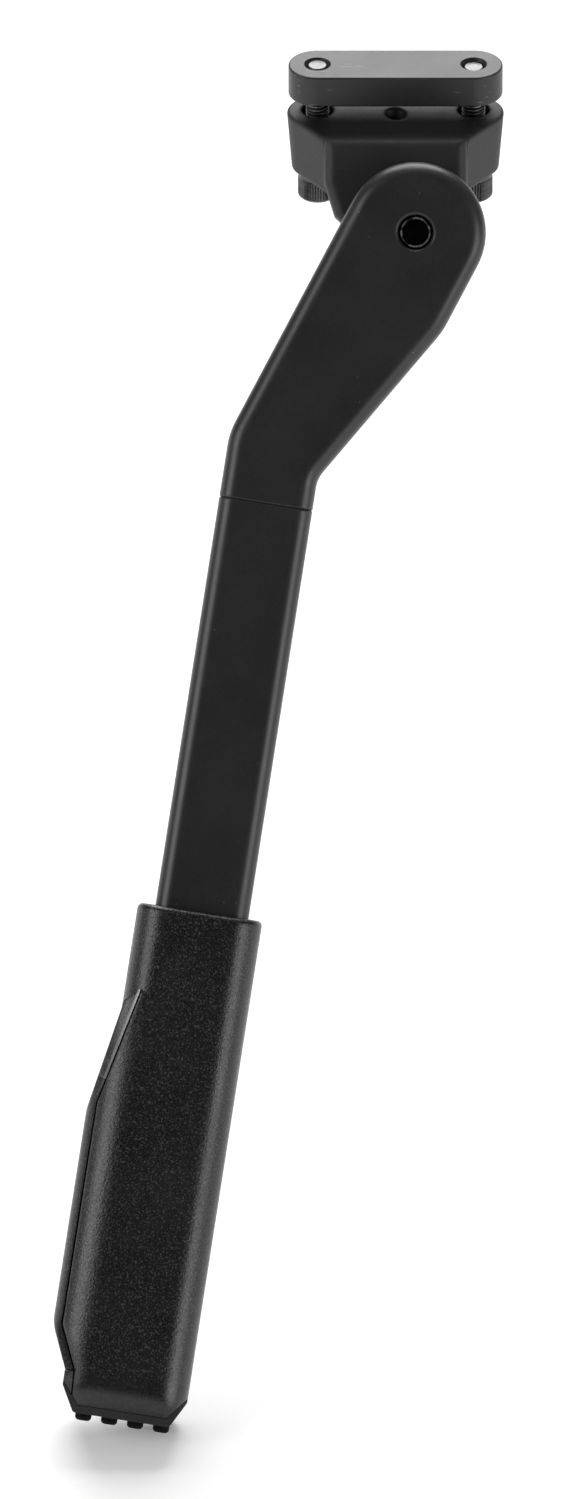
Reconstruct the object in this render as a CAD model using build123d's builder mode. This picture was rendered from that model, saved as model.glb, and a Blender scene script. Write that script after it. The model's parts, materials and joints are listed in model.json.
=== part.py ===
from build123d import *
import os
from math import atan2, cos, degrees, radians, sin

# Driving dimensions, in millimetres and degrees.
# The origin is on the bracket's seat, midway between the fixing screws, and Z is the seat's normal.

# Frame of the leg
splay = 31.0
lean = 8.9
pivot_u = 5.0
pivot_v = -32.0
running_gap = 0.3
shaft_clearance = 0.06
seat_clearance = 0.05

# Fixing screws, spring washers and clamp plate
screw_spacing = 40.0
screw_d = 6.0
screw_root_d = 5.3
screw_relief = 1.6
screw_tip_recess = 0.3
screw_head_d = 10.0
screw_head_h = 6.0
screw_head_edge = 0.5
screw_socket_w = 5.0
screw_socket_depth = 3.0
washer_d = 9.9
washer_bore = 6.3
washer_h = 1.7
washer_split = 1.2
plate_w = 14.9
plate_h = 8.5
plate_edge = 0.5
plate_hole_chamfer = 0.75
tab_gap = 5.0

# Bracket
ear_d = 15.7
ear_h = 17.2
ear_taper = 4.5
ear_edge = 0.9
ear_low_edge = 1.5
ear_front_w = 37.2
ear_front_d = 2.0
ear_front_inset = 1.7
screw_hole_d = 8.4
face_w = 14.3
body_depth = 19.9
body_half_top = 18.3
body_mid_v = -19.0
body_half_low = 15.6
body_low_v = -27.5
body_half_foot = 11.0
body_edge = 2.6
lobe_wall = 4.4

# Pivot and fold stop
drum_d = 24.0
drum_h = 15.6
drum_spigot_d = 16.0
drum_spigot_h = 5.0
dowel_d = 3.0
dowel_h = 12.0
dowel_circle_d = 20.0
dowel_angle = 50.0
bolt_d = 8.0
bolt_head_d = 13.0
bolt_head_h = 5.0
bolt_socket_w = 6.0
bolt_socket_depth = 3.0
bolt_end_recess = 2.0
bolt_end_chamfer = 0.2
bolt_end_bore = 6.9
bolt_end_depth = 4.0
bolt_head_edge = 0.6
pivot_washer_d = 14.0
pivot_washer_h = 1.2
bush_wall = 1.0
bush_flange_d = 14.0
bush_flange_h = 1.5
stop_pin_d = 3.0
stop_pin_reach = 4.5
stop_circle_d = 16.4
stop_angle = 235.0
fold_angle = 95.0

# Detent
detent_y = -2.0
detent_bore_d = 5.6
plunger_h = 6.5
plunger_gap = 0.1
groove_depth = 1.0
plug_h = 5.0
plug_recess = 2.2
plug_socket_w = 2.5
plug_socket_depth = 2.0
spring_wire_d = 0.8
spring_turns = 4

# Arm and tube
leg_d = 15.5
leg_edge = 4.0
tube_w = 24.06
tube_t = -17.13
tube_wall = 2.0
seam_s = 105.1
seam_edge = 0.3
tube_end_s = 290.0
arm_head_d = 36.0
arm_lean = 28.0
arm_straight = 19.0
knee_left_r = 20.0
knee_right = 8.3
knee_right_r = 8.0
arm_break_r = 25.0
arm_hole_d = 8.9
arm_hole_depth = 4.5
arm_hole_chamfer = 0.55
spigot_h = 26.0
set_screw_d = 5.0
set_screw_h = 5.5
set_screw_socket_w = 2.5
set_screw_socket_depth = 2.2
set_screw_inset = 8.0
set_screw_pitch = 11.0
end_plug_flange = 2.0
end_plug_reach = 14.0

# Foot
foot_top_s = 210.7
foot_bevel_s = 335.0
foot_base_s = 341.8
foot_clearance = 0.25
foot_wall_left = 4.2
foot_wall_right = 3.4
foot_wall_face = 4.0
foot_corner_r = 8.0
foot_rim_edge = 1.4
foot_floor = 16.0
bevel_side = 3.7
bevel_face = 3.4
foot_base_edge = 1.2

# Sole
sole_side_h = 8.0
sole_h = 2.2
sole_ramp = 4.6
sole_seam = 0.15
nub_d = 4.2
nub_h = 1.75
nub_edge = 1.0
nub_pitch = 6.7
nub_count = 4
nub_rows = 2
nub_row_pitch = 6.4
peg_d = 5.0
peg_h = 6.0
peg_pitch = 14.0

# Release lever
ridge_start_s = 238.0
ridge_full_s = 265.0
ridge_end_s = 320.0
ridge_h = 4.9
ridge_flat = 1.0
ridge_bend_r = 12.0
ridge_root = 8.5
ridge_sink = 0.4
ridge_crest_s = 236.7
groove_top_s = 232.6
groove_top_inset = 4.1
groove_full_s = 262.8
groove_floor = 3.4
lever_wall = 2.2
lever_groove = 0.4
lever_end_s = 331.0
lever_pin_s = 252.0
lever_pin_d = 2.5
lever_pin_h = 17.0
lever_rib_w = 4.0
lever_rib_h = 2.0
lever_tongue_h = 1.0
knuckle_w = 12.0
knuckle_d = 5.3
cam_throw = 0.59
cheek_r = 4.6
cheek_gap = 0.1
pad_h = 1.4
pad_w = 11.0
pad_length = 12.0
pad_gap = 0.1

# Foot stop
stop_screw_s = 240.0
stop_screw_d = 4.0
stop_screw_head_d = 7.6
stop_screw_socket_w = 2.5
stop_screw_socket_depth = 1.6
stop_screw_head_h = 1.8
stop_screw_taper = 45.0
stop_screw_tip = 1.6
foot_up = 25.0
foot_down = 30.0

# Directions of the swing plane: along the bicycle, up the plane, and outwards along the pivot
u_dir = Vector(1, 0, 0)
v_dir = Vector(0, sin(radians(splay)), cos(radians(splay)))
w_dir = Vector(0, -cos(radians(splay)), sin(radians(splay)))
# Directions of the leg: down its length and across it
s_dir = u_dir * -sin(radians(lean)) + v_dir * -cos(radians(lean))
t_dir = u_dir * cos(radians(lean)) + v_dir * -sin(radians(lean))

# Depths along the pivot
body_back = face_w - body_depth
leg_back = face_w + running_gap
leg_front = leg_back + leg_d
leg_mid = leg_back + leg_d / 2
drum_back = leg_back - drum_h
pocket_floor = drum_back - running_gap
bush_back = body_back - bush_flange_h
bolt_head_front = bush_back - running_gap - pivot_washer_h

# Radii, widths and places that several pieces share
half_spacing = screw_spacing / 2
screw_root_r = screw_root_d / 2
head_seat_z = -ear_h - washer_h
plate_top_z = tab_gap + plate_h
pivot = (pivot_u, pivot_v)
drum_r = drum_d / 2
pocket_r = drum_r + shaft_clearance
lobe_r = pocket_r + lobe_wall
bush_r = bolt_d / 2 + shaft_clearance + bush_wall
tube_left = tube_t - tube_w / 2
tube_right = tube_t + tube_w / 2
tube_bore_w = tube_w - 2 * tube_wall
tube_bore_d = leg_d - 2 * tube_wall
tube_bore_r = leg_edge - tube_wall
foot_left = tube_left - foot_clearance - foot_wall_left
foot_right = tube_right + foot_clearance + foot_wall_right
foot_w = foot_right - foot_left
foot_t = (foot_left + foot_right) / 2
foot_d = leg_d + 2 * (foot_clearance + foot_wall_face)
foot_back = leg_mid - foot_d / 2
cavity_end_s = foot_base_s - foot_floor
ridge_t = foot_left - ridge_h
ridge_r = (foot_d - ridge_flat) / 2
ramp = ridge_h / (ridge_full_s - ridge_start_s)
ridge_foot_s = ridge_start_s - ridge_sink / ramp
pad_t = tube_left - pad_gap - pad_h / 2
knuckle_r = knuckle_d / 2
knuckle_t = pad_t - pad_h / 2 - pad_gap - knuckle_r
knuckle_sweep_r = knuckle_r + cam_throw
lever_pin_t = knuckle_t - cam_throw
lever_pin_at = (lever_pin_t, -lever_pin_s)
knuckle_at = (knuckle_t, -lever_pin_s)
slot_w = knuckle_w + 2 * lever_groove
lever_top_s = lever_pin_s + cheek_r
groove_top_t = foot_left + groove_top_inset
groove_full_t = ridge_t + lever_wall
groove_end_t = foot_left + lever_wall
groove_slope = (groove_full_t - groove_top_t) / (groove_full_s - groove_top_s)
lever_inner_t = groove_top_t + groove_slope * (lever_pin_s - groove_top_s)
lever_top_t = groove_top_t + groove_slope * (lever_top_s - groove_top_s)
groove_line_w = foot_d / 2 - groove_floor
sole_side_s = foot_base_s - sole_side_h
sole_flat_s = foot_base_s - sole_h
pad_place = s_dir * lever_pin_s + t_dir * pad_t + w_dir * leg_mid
front_y = -face_w / cos(radians(splay))

# The detent's bore runs from its mouth in the seat straight to the pivot
detent_depth = -detent_y * cos(radians(splay))
detent_mouth = Vector(0, detent_y, 0)


def swing_plane(depth):
    """Plane of the leg's swing at a depth along the pivot: x along the bicycle, y up."""
    return Plane(origin=w_dir * depth, x_dir=u_dir, z_dir=w_dir)


def pivot_plane(depth):
    """Swing plane at a depth, centred on the pivot."""
    centre = u_dir * pivot_u + v_dir * pivot_v + w_dir * depth
    return Plane(origin=centre, x_dir=u_dir, z_dir=w_dir)


def leg_uv(s, t):
    """Point of the swing plane at a distance s down the leg and t across it."""
    x = -s * sin(radians(lean)) + t * cos(radians(lean))
    y = -s * cos(radians(lean)) - t * sin(radians(lean))
    return (x, y)


def section_plane(s):
    """Cross-section of the leg at a distance down it: x across, y outwards, z down the leg."""
    return Plane(origin=s_dir * s + w_dir * leg_mid, x_dir=t_dir, z_dir=s_dir)


def side_plane(depth):
    """Plane of the leg's side view at a depth from the leg's middle: x across, y up the leg."""
    return Plane(origin=w_dir * (leg_mid + depth), x_dir=t_dir, z_dir=w_dir)


def edge_plane(t):
    """Plane of the leg's edge view at a distance across it: x outwards, y down the leg."""
    return Plane(origin=t_dir * t + w_dir * leg_mid, x_dir=w_dir, z_dir=t_dir)


def back_plane(s, t, depth):
    """Plane on the leg's back at a place on it, facing away from the leg, x across."""
    return Plane(origin=s_dir * s + t_dir * t + w_dir * depth, x_dir=t_dir, z_dir=-w_dir)


def side_point(s, t):
    """Point of a side plane at a distance s down the leg and t across it."""
    return (t, -s)


def along_leg(shape):
    """Distance of a shape's centre down the leg."""
    return shape.center().dot(s_dir)


def outwards(shape):
    """Distance of a shape's centre outwards along the pivot."""
    return shape.center().dot(w_dir)


# Clamp plate
with BuildPart() as clamp_plate:
    with BuildSketch(Plane.XY.offset(tab_gap)):
        SlotCenterToCenter(screw_spacing, plate_w)
    extrude(amount=plate_h)
    rims = clamp_plate.edges().group_by(Axis.Z)
    fillet(rims[0] + rims[-1], plate_edge)
    with BuildSketch(Plane.XY.offset(tab_gap)):
        with GridLocations(screw_spacing, 0, 2, 1):
            Circle(screw_root_r + seat_clearance)
    extrude(amount=plate_h, mode=Mode.SUBTRACT)
    mouths = clamp_plate.edges(Select.LAST).filter_by(GeomType.CIRCLE)
    chamfer(mouths, plate_hole_chamfer)
clamp_plate.part.label = "clamp_plate"

# Fixing screws: full diameter where the thread is free, root diameter where it is engaged
with BuildPart() as mount_screws:
    for screw_x in (-half_spacing, half_spacing):
        with BuildSketch(Plane(origin=(screw_x, 0, 0), x_dir=(1, 0, 0), z_dir=(0, -1, 0))):
            with BuildLine():
                Polyline(
                    (0, head_seat_z - screw_head_h),
                    (screw_head_d / 2 - screw_head_edge, head_seat_z - screw_head_h),
                    (screw_head_d / 2, head_seat_z - screw_head_h + screw_head_edge),
                    (screw_head_d / 2, head_seat_z),
                    (screw_root_r, head_seat_z),
                    (screw_root_r, -ear_h + screw_relief),
                    (screw_d / 2, -ear_h + screw_relief),
                    (screw_d / 2, tab_gap),
                    (screw_root_r, tab_gap),
                    (screw_root_r, plate_top_z - screw_tip_recess),
                    (0, plate_top_z - screw_tip_recess),
                    close=True,
                )
            make_face()
        revolve(axis=Axis((screw_x, 0, 0), (0, 0, 1)))
    with BuildSketch(Plane.XY.offset(head_seat_z - screw_head_h)):
        with GridLocations(screw_spacing, 0, 2, 1):
            RegularPolygon(screw_socket_w / 2, 6, major_radius=False)
    extrude(amount=screw_socket_depth, mode=Mode.SUBTRACT)
mount_screws.part.label = "mount_screws"

# Split spring washers
with BuildPart() as spring_washers:
    with BuildSketch(Plane.XY.offset(head_seat_z)):
        with GridLocations(screw_spacing, 0, 2, 1):
            Circle(washer_d / 2)
            Circle(washer_bore / 2, mode=Mode.SUBTRACT)
        with GridLocations(screw_spacing, 0, 2, 1):
            with Locations((0, washer_d / 2)):
                Rectangle(washer_split, washer_d, mode=Mode.SUBTRACT)
    extrude(amount=washer_h)
spring_washers.part.label = "spring_washers"

# The detent's bore, seen from the pivot
pivot_to_mouth = detent_mouth - pivot_plane(detent_depth).origin
detent_axis = pivot_to_mouth.normalized()
detent_length = pivot_to_mouth.length


def detent_plane(distance):
    """Cross-section of the detent's bore at a distance from the pivot."""
    origin = pivot_plane(detent_depth).origin + detent_axis * distance
    return Plane(origin=origin, x_dir=w_dir, z_dir=detent_axis)


# Ears of the bracket, which stand on the seat
with BuildPart() as ears:
    with BuildSketch():
        with GridLocations(screw_spacing, 0, 2, 1):
            Circle(ear_d / 2)
        with Locations((0, front_y + ear_front_inset)):
            Rectangle(ear_front_w, ear_front_d, align=(Align.CENTER, Align.MIN))
        make_hull()
    extrude(amount=-ear_h, taper=ear_taper)
    fillet(ears.edges().group_by(Axis.Z)[0], ear_low_edge)
    fillet(ears.edges().group_by(Axis.Z)[-1], ear_edge)

# Bracket: a body along the pivot, which ends in the pivot's housing, and the two ears
with BuildPart() as bracket:
    with BuildSketch(swing_plane(body_back)):
        with BuildLine():
            Polyline(
                (-body_half_top, body_depth),
                (-body_half_top, body_mid_v),
                (-body_half_low, body_low_v),
                (-body_half_foot, pivot_v),
                (body_half_low, pivot_v),
                (body_half_low, body_low_v),
                (body_half_top, body_mid_v),
                (body_half_top, body_depth),
                close=True,
            )
        make_face()
        with Locations(pivot):
            Circle(lobe_r)
    extrude(amount=body_depth)
    split(bisect_by=Plane.XY, keep=Keep.BOTTOM)
    fillet(bracket.faces().sort_by(outwards)[-1].edges(), body_edge)
    add(ears.part)
    with BuildSketch():
        with GridLocations(screw_spacing, 0, 2, 1):
            Circle(screw_hole_d / 2)
    extrude(amount=-ear_h, mode=Mode.SUBTRACT)
    with BuildSketch(Plane.XY.offset(-ear_h)):
        with GridLocations(screw_spacing, 0, 2, 1):
            Circle(washer_d / 2 + running_gap)
    extrude(amount=-2 * screw_head_h, mode=Mode.SUBTRACT)
    with BuildSketch(pivot_plane(pocket_floor)):
        Circle(pocket_r)
    extrude(amount=face_w - pocket_floor, mode=Mode.SUBTRACT)
    with BuildSketch(pivot_plane(body_back)):
        Circle(bush_r + seat_clearance)
        with PolarLocations(stop_circle_d / 2, 1, stop_angle):
            Circle(stop_pin_d / 2 + seat_clearance)
    extrude(amount=pocket_floor - body_back, mode=Mode.SUBTRACT)
    with BuildSketch(detent_plane(drum_r - groove_depth)):
        Circle(detent_bore_d / 2)
    extrude(amount=detent_length, mode=Mode.SUBTRACT)
bracket.part.label = "bracket"

# Flanged bush in the bracket's back wall
with BuildPart() as pivot_bush:
    with BuildSketch(pivot_plane(body_back)):
        Circle(bush_r)
    extrude(amount=pocket_floor - body_back)
    with BuildSketch(pivot_plane(bush_back)):
        Circle(bush_flange_d / 2)
    extrude(amount=bush_flange_h)
    with BuildSketch(pivot_plane(bush_back)):
        Circle(bolt_d / 2 + shaft_clearance)
    extrude(amount=pocket_floor - bush_back, mode=Mode.SUBTRACT)
pivot_bush.part.label = "pivot_bush"

# Stop pin in the back wall, which reaches into the drum's curved slot
with BuildPart() as stop_pin:
    with BuildSketch(pivot_plane(body_back)):
        with PolarLocations(stop_circle_d / 2, 1, stop_angle):
            Circle(stop_pin_d / 2)
    extrude(amount=pocket_floor - body_back + stop_pin_reach)
stop_pin.part.label = "stop_pin"

# Detent: plunger with a round nose, spring and plug, in line in their bore
plunger_r = detent_bore_d / 2 - shaft_clearance
plunger_tip = drum_r + plunger_gap
plunger_back = plunger_tip + plunger_h
plug_end = detent_length - plug_recess
spring_end = plug_end - plug_h
coil_height = spring_end - plunger_back - spring_wire_d - 2 * seat_clearance
with BuildPart() as detent_plunger:
    with BuildSketch(detent_plane(plunger_tip + plunger_r)):
        Circle(plunger_r)
    extrude(amount=plunger_h - plunger_r)
    with Locations(detent_plane(plunger_tip + plunger_r)):
        Sphere(plunger_r)
detent_plunger.part.label = "detent_plunger"

with BuildPart() as detent_spring:
    with BuildLine() as coil:
        Helix(
            pitch=coil_height / spring_turns,
            height=coil_height,
            radius=plunger_r - spring_wire_d,
            center=detent_plane(plunger_back + spring_wire_d / 2 + seat_clearance).origin,
            direction=detent_axis,
        )
    with BuildSketch(Plane(origin=coil.line @ 0, z_dir=coil.line % 0)):
        Circle(spring_wire_d / 2)
    sweep(is_frenet=True)
detent_spring.part.label = "detent_spring"

with BuildPart() as detent_plug:
    with BuildSketch(detent_plane(spring_end)):
        Circle(detent_bore_d / 2 - seat_clearance)
    extrude(amount=plug_h)
    with BuildSketch(detent_plane(plug_end)):
        RegularPolygon(plug_socket_w / 2, 6, major_radius=False)
    extrude(amount=-plug_socket_depth, mode=Mode.SUBTRACT)
detent_plug.part.label = "detent_plug"

# Drum fixed to the arm: it turns in the bracket, with a detent groove for each end of the fold
groove_r = plunger_r + running_gap
detent_angle = degrees(atan2(detent_axis.dot(v_dir), detent_axis.dot(u_dir)))
slot_half_w = stop_pin_d / 2 + running_gap
slot_r = stop_circle_d / 2
slot_spare = degrees(running_gap / slot_r)
with BuildPart() as cam_hub:
    with BuildSketch(pivot_plane(drum_back)):
        Circle(drum_r)
        for turn in (0, fold_angle):
            with PolarLocations(drum_r - groove_depth + groove_r, 1, detent_angle - turn):
                Circle(groove_r, mode=Mode.SUBTRACT)
    extrude(amount=drum_h)
    with BuildSketch(pivot_plane(leg_back)):
        Circle(drum_spigot_d / 2)
    extrude(amount=drum_spigot_h)
    with BuildSketch(pivot_plane(drum_back)):
        Circle(bolt_d / 2 + seat_clearance)
    extrude(amount=drum_h + drum_spigot_h, mode=Mode.SUBTRACT)
    with BuildSketch(pivot_plane(drum_back)):
        with BuildLine() as slot_path:
            CenterArc((0, 0), slot_r, stop_angle - fold_angle - slot_spare, fold_angle + 2 * slot_spare)
        SlotArc(slot_path.edge(), 2 * slot_half_w)
    extrude(amount=stop_pin_reach + running_gap, mode=Mode.SUBTRACT)
    with BuildSketch(pivot_plane(leg_back)):
        with PolarLocations(dowel_circle_d / 2, 2, dowel_angle):
            Circle(dowel_d / 2)
    extrude(amount=-dowel_h / 2, mode=Mode.SUBTRACT)
cam_hub.part.label = "cam_hub"

# Dowels that key the drum to the arm
with BuildPart() as hub_dowels:
    with BuildSketch(pivot_plane(leg_back - dowel_h / 2)):
        with PolarLocations(dowel_circle_d / 2, 2, dowel_angle):
            Circle(dowel_d / 2)
    extrude(amount=dowel_h)
hub_dowels.part.label = "hub_dowels"

# Pivot bolt from the back, and its washer
with BuildPart() as pivot_bolt:
    with BuildSketch(pivot_plane(bolt_head_front)):
        Circle(bolt_d / 2)
    extrude(amount=leg_front - bolt_end_recess - bolt_head_front)
    chamfer(pivot_bolt.faces().sort_by(outwards)[-1].edges(), bolt_end_chamfer)
    with BuildSketch(pivot_plane(leg_front - bolt_end_recess)):
        Circle(bolt_end_bore / 2)
    extrude(amount=-bolt_end_depth, mode=Mode.SUBTRACT)
    with BuildSketch(pivot_plane(bolt_head_front - bolt_head_h)):
        Circle(bolt_head_d / 2)
    extrude(amount=bolt_head_h)
    chamfer(pivot_bolt.faces().sort_by(outwards)[0].edges(), bolt_head_edge)
    with BuildSketch(pivot_plane(bolt_head_front - bolt_head_h)):
        RegularPolygon(bolt_socket_w / 2, 6, major_radius=False)
    extrude(amount=bolt_socket_depth, mode=Mode.SUBTRACT)
pivot_bolt.part.label = "pivot_bolt"

with BuildPart() as pivot_washer:
    with BuildSketch(pivot_plane(bolt_head_front)):
        Circle(pivot_washer_d / 2)
        Circle(bolt_d / 2 + seat_clearance, mode=Mode.SUBTRACT)
    extrude(amount=pivot_washer_h)
pivot_washer.part.label = "pivot_washer"

# Arm: a round head on the pivot, two knees, and a spigot inside the tube
head_r = arm_head_d / 2
edge_dir = Vector(-sin(radians(arm_lean)), -cos(radians(arm_lean)))
edge_side = Vector(cos(radians(arm_lean)), -sin(radians(arm_lean)))
head_centre = Vector(*pivot)
right_tangent = head_centre + edge_side * head_r
left_tangent = head_centre - edge_side * head_r
head_top = head_centre - edge_dir * head_r
right_break = right_tangent + edge_dir * arm_straight
across_uv = Vector(cos(radians(lean)), -sin(radians(lean)))
left_run = (tube_left - left_tangent.dot(across_uv)) / edge_dir.dot(across_uv)
left_knee = left_tangent + edge_dir * left_run
right_knee = leg_uv(seam_s - knee_right, tube_right)
seam_left = leg_uv(seam_s, tube_left)
seam_right = leg_uv(seam_s, tube_right)
with BuildPart() as leg_arm:
    with BuildSketch(swing_plane(leg_back)):
        with BuildLine():
            FilletPolyline(left_tangent, left_knee, seam_left, radius=knee_left_r)
            Line(seam_left, seam_right)
            FilletPolyline(
                seam_right,
                right_knee,
                right_break,
                right_tangent,
                radius=[knee_right_r, arm_break_r],
            )
            ThreePointArc(right_tangent, head_top, left_tangent)
        make_face()
    extrude(amount=leg_d)
    flats = leg_arm.faces().filter_by(lambda f: abs(f.normal_at().dot(w_dir)) > 0.99)
    fillet(flats.edges().filter_by(lambda e: along_leg(e) < seam_s - seam_edge), leg_edge)
    chamfer(leg_arm.faces().sort_by(along_leg)[-1].edges(), seam_edge)
    with BuildSketch(section_plane(seam_s)):
        with Locations((tube_t, 0)):
            RectangleRounded(
                tube_bore_w - 2 * seat_clearance,
                tube_bore_d - 2 * seat_clearance,
                tube_bore_r - seat_clearance,
            )
    extrude(amount=spigot_h)
    with BuildSketch(pivot_plane(leg_back)):
        Circle(drum_spigot_d / 2 + seat_clearance)
    extrude(amount=drum_spigot_h, mode=Mode.SUBTRACT)
    with BuildSketch(pivot_plane(leg_back)):
        Circle(bolt_d / 2 + seat_clearance)
    extrude(amount=leg_d, mode=Mode.SUBTRACT)
    with BuildSketch(pivot_plane(leg_back)):
        with PolarLocations(dowel_circle_d / 2, 2, dowel_angle):
            Circle(dowel_d / 2)
    extrude(amount=dowel_h / 2, mode=Mode.SUBTRACT)
    with BuildSketch(pivot_plane(leg_front)):
        Circle(arm_hole_d / 2)
    extrude(amount=-arm_hole_depth, mode=Mode.SUBTRACT)
    chamfer(leg_arm.edges(Select.LAST).sort_by(outwards)[-1], arm_hole_chamfer)
    for step in range(2):
        with BuildSketch(back_plane(seam_s + set_screw_inset + step * set_screw_pitch, tube_t, leg_back)):
            Circle(set_screw_d / 2)
        extrude(amount=-set_screw_h, mode=Mode.SUBTRACT)
leg_arm.part.label = "leg_arm"

# Tube, with holes for its set screws and a slot for the foot's stop screw
slot_top_s = stop_screw_s - foot_up
slot_end_s = stop_screw_s + foot_down
with BuildPart() as leg_tube:
    with BuildSketch(section_plane(seam_s)):
        with Locations((tube_t, 0)):
            RectangleRounded(tube_w, leg_d, leg_edge)
            RectangleRounded(tube_bore_w, tube_bore_d, tube_bore_r, mode=Mode.SUBTRACT)
    extrude(amount=tube_end_s - seam_s)
    chamfer(leg_tube.faces().sort_by(along_leg)[0].outer_wire().edges(), seam_edge)
    for step in range(2):
        with BuildSketch(back_plane(seam_s + set_screw_inset + step * set_screw_pitch, tube_t, leg_back)):
            Circle(set_screw_d / 2)
        extrude(amount=-tube_wall, mode=Mode.SUBTRACT)
    with BuildSketch(back_plane((slot_top_s + slot_end_s) / 2, tube_t, leg_back)):
        SlotCenterToCenter(foot_up + foot_down, stop_screw_d + 2 * running_gap, rotation=90)
    extrude(amount=-tube_wall, mode=Mode.SUBTRACT)
leg_tube.part.label = "leg_tube"

# Set screws that hold the tube on the spigot
with BuildPart() as tube_set_screws:
    for step in range(2):
        with BuildSketch(back_plane(seam_s + set_screw_inset + step * set_screw_pitch, tube_t, leg_back)):
            Circle(set_screw_d / 2)
        extrude(amount=-set_screw_h)
        with BuildSketch(back_plane(seam_s + set_screw_inset + step * set_screw_pitch, tube_t, leg_back)):
            RegularPolygon(set_screw_socket_w / 2, 6, major_radius=False)
        extrude(amount=-set_screw_socket_depth, mode=Mode.SUBTRACT)
tube_set_screws.part.label = "tube_set_screws"

# Plug in the tube's lower end
with BuildPart() as tube_end_plug:
    with BuildSketch(section_plane(tube_end_s)):
        with Locations((tube_t, 0)):
            RectangleRounded(
                tube_bore_w - 2 * seat_clearance,
                tube_bore_d - 2 * seat_clearance,
                tube_bore_r - seat_clearance,
            )
    extrude(amount=-end_plug_reach)
    with BuildSketch(section_plane(tube_end_s)):
        with Locations((tube_t, 0)):
            RectangleRounded(tube_w - 2 * seam_edge, leg_d - 2 * seam_edge, leg_edge - seam_edge)
    extrude(amount=end_plug_flange)
tube_end_plug.part.label = "tube_end_plug"

# Half-round ridge along the foot's left side: the foot keeps its root, and the lever is its outer slice
with BuildPart() as ridge:
    with BuildSketch(section_plane(groove_top_s)) as ridge_section:
        with Locations((ridge_t, 0)):
            Rectangle(ridge_h + ridge_root, foot_d, align=(Align.MIN, Align.CENTER))
        fillet(ridge_section.vertices().group_by(Axis.X)[0], ridge_r)
    extrude(amount=foot_base_s - groove_top_s)
    with BuildSketch(side_plane(-foot_d)):
        with BuildLine():
            FilletPolyline(
                side_point(ridge_foot_s, foot_left + ridge_sink),
                side_point(ridge_full_s, ridge_t),
                side_point(ridge_end_s, ridge_t),
                side_point(lever_end_s, foot_left),
                radius=ridge_bend_r,
            )
            Polyline(
                side_point(lever_end_s, foot_left),
                side_point(foot_base_s, foot_left),
                side_point(foot_base_s, foot_left + ridge_root),
                side_point(ridge_crest_s, foot_left + ridge_root),
                side_point(groove_top_s, groove_top_t),
                side_point(ridge_foot_s, foot_left + ridge_sink),
            )
        make_face()
    extrude(amount=2 * foot_d, mode=Mode.INTERSECT)

# Outer form of the foot with its sole, bevelled to its base on all sides
with BuildPart() as foot_block:
    with BuildSketch(section_plane(foot_top_s)):
        with Locations((foot_t, 0)):
            RectangleRounded(foot_w, foot_d, foot_corner_r)
    extrude(amount=foot_base_s - foot_top_s)
    fillet(foot_block.faces().sort_by(along_leg)[0].edges(), foot_rim_edge)
    add(ridge.part)
    for side_t, base_t in ((foot_left, foot_left + bevel_side), (foot_right, foot_right - bevel_side)):
        with BuildSketch(side_plane(-foot_d)):
            with BuildLine():
                Polyline(
                    side_point(foot_bevel_s, side_t),
                    side_point(foot_base_s, base_t),
                    side_point(foot_base_s, side_t),
                    close=True,
                )
            make_face()
        extrude(amount=2 * foot_d, mode=Mode.SUBTRACT)
    for facing in (-1, 1):
        with BuildSketch(edge_plane(foot_left - foot_corner_r)):
            with BuildLine():
                Polyline(
                    (facing * foot_d / 2, foot_bevel_s),
                    (facing * (foot_d / 2 - bevel_face), foot_base_s),
                    (facing * foot_d / 2, foot_base_s),
                    close=True,
                )
            make_face()
        extrude(amount=foot_w + 2 * foot_corner_r, mode=Mode.SUBTRACT)
    fillet(foot_block.faces().sort_by(along_leg)[-1].edges(), foot_base_edge)

# Side view of the room under the seam, which is the sole's
with BuildSketch() as sole_outline:
    with BuildLine():
        Polyline(
            side_point(sole_side_s, foot_left - foot_corner_r),
            side_point(sole_side_s, foot_left),
            side_point(sole_flat_s, foot_left + sole_ramp),
            side_point(sole_flat_s, foot_right - sole_ramp),
            side_point(sole_side_s, foot_right),
            side_point(sole_side_s, foot_right + foot_corner_r),
            side_point(foot_base_s + foot_corner_r, foot_right + foot_corner_r),
            side_point(foot_base_s + foot_corner_r, foot_left - foot_corner_r),
            close=True,
        )
    make_face()

# Side view of the lever's slice of the ridge
with BuildSketch() as lever_outline:
    with BuildLine():
        Polyline(
            side_point(lever_pin_s, ridge_t - ridge_h),
            side_point(lever_pin_s, lever_inner_t),
            side_point(groove_full_s, groove_full_t),
            side_point(ridge_end_s, groove_full_t),
            side_point(lever_end_s, groove_end_t),
            side_point(lever_end_s, ridge_t - ridge_h),
            close=True,
        )
    make_face()

# Side view of the rib behind the lever and the tongue at its end, which close its gaps to light
with BuildSketch() as rib_outline:
    with BuildLine():
        Polyline(
            side_point(lever_top_s, lever_top_t),
            side_point(lever_top_s, lever_top_t + lever_rib_h),
            side_point(groove_full_s, groove_full_t + lever_rib_h),
            side_point(ridge_end_s, groove_full_t + lever_rib_h),
            side_point(lever_end_s + lever_tongue_h, groove_end_t + lever_rib_h),
            side_point(lever_end_s + lever_tongue_h, foot_left),
            side_point(lever_end_s, foot_left),
            side_point(lever_end_s, groove_end_t),
            side_point(ridge_end_s, groove_full_t),
            side_point(groove_full_s, groove_full_t),
            close=True,
        )
    make_face()

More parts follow.
